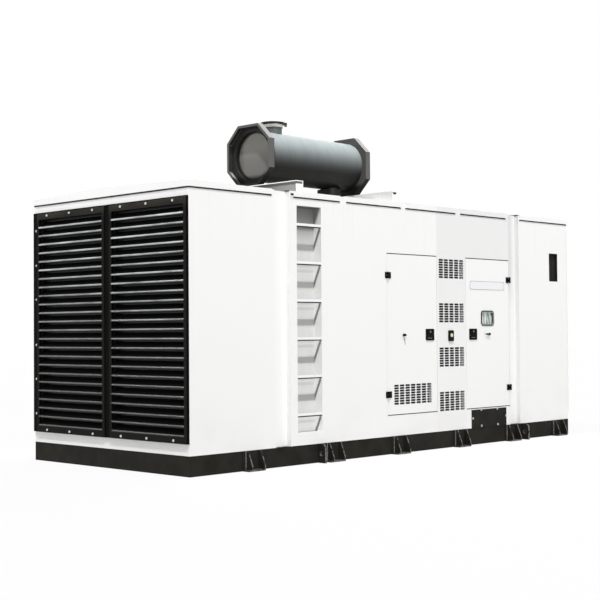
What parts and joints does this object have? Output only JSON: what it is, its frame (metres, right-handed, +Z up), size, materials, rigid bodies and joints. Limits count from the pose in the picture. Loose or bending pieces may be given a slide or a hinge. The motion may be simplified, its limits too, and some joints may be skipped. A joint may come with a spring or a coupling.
{
  "type": "diesel generator set",
  "caption": "Canopied diesel generator set on a steel skid, with end louvres, a climbing recess, two hinged doors and a roof exhaust silencer.",
  "frame": {"origin": "on the floor, under the middle of the canopy", "axes": "+X along the length, from the radiator end to the rear end; +Z up; the access side with the doors faces -Y"},
  "size_m": [5.976, 2.492, 3.408],
  "materials": {
    "skid_paint": "semi-gloss black paint on steel",
    "canopy_paint": "satin white powder coat",
    "louvre_paint": "satin dark grey powder coat",
    "screen_mesh": "matt black mesh",
    "rubber_seal": "matt black sealing rubber",
    "black_fittings": "satin black",
    "switch_plastic": "moulded black with a pale button",
    "silencer_paint": "heat-proof metallic grey paint",
    "cabinet_paint": "light grey powder coat",
    "window_glass": "clear, slightly green",
    "name_plate": "blank white plate"
  },
  "bodies": {
    "canopy": {"skid_rails": "skid_paint", "skid_end_beams": "skid_paint", "skid_crossmembers": "skid_paint", "floor_deck": "skid_paint", "mounting_feet": "skid_paint", "lifting_lugs": "skid_paint", "front_end_wall": "canopy_paint", "front_louvre_left": "louvre_paint", "front_louvre_right": "louvre_paint", "rear_end_wall": "canopy_paint", "rear_louvre_left": "louvre_paint", "rear_louvre_right": "louvre_paint", "mesh_screens": "screen_mesh", "left_front_panel": "canopy_paint", "left_joint_channels": "canopy_paint", "ladder_panel": "canopy_paint", "ladder_recess": "canopy_paint", "ladder_rungs": "canopy_paint", "left_plain_panel": "canopy_paint", "door_post": "canopy_paint", "post_grilles": "canopy_paint", "door_headers": "canopy_paint", "door_sills": "canopy_paint", "door_stops": "rubber_seal", "left_rear_panel": "canopy_paint", "air_slot": "black_fittings", "cable_entry_plate": "black_fittings", "hinge_seats": "black_fittings", "emergency_stop": "switch_plastic", "right_wall_panels": "canopy_paint", "right_joint_channels": "canopy_paint", "right_fixed_doors": "canopy_paint", "right_door_hardware": "black_fittings", "roof_panels": "canopy_paint", "roof_joint_strips": "canopy_paint", "roof_plinth": "canopy_paint", "silencer_bearers": "canopy_paint", "silencer_shell": "silencer_paint", "silencer_front_end": "silencer_paint", "silencer_rear_end": "silencer_paint", "exhaust_outlet": "silencer_paint", "exhaust_inlet": "silencer_paint", "control_cabinet": "cabinet_paint"},
    "engine_door": {"engine_door_leaf": "canopy_paint", "engine_door_grille": "canopy_paint", "engine_door_hinges": "black_fittings", "engine_door_lock": "black_fittings"},
    "control_door": {"control_door_leaf": "canopy_paint", "control_door_seal": "rubber_seal", "control_door_glass": "window_glass", "control_door_hinges": "black_fittings", "control_door_lock": "black_fittings", "control_door_plate": "name_plate"}
  },
  "joints": [
    {"name": "engine_door_hinge", "type": "hinge", "parent": "canopy", "child": "engine_door", "pos_m": [-0.344, -1.164, 1.2], "axis": [0, 0, -1], "range_deg": [0, 120]},
    {"name": "control_door_hinge", "type": "hinge", "parent": "canopy", "child": "control_door", "pos_m": [1.763, -1.164, 1.2], "axis": [0, 0, 1], "range_deg": [0, 120]}
  ]
}
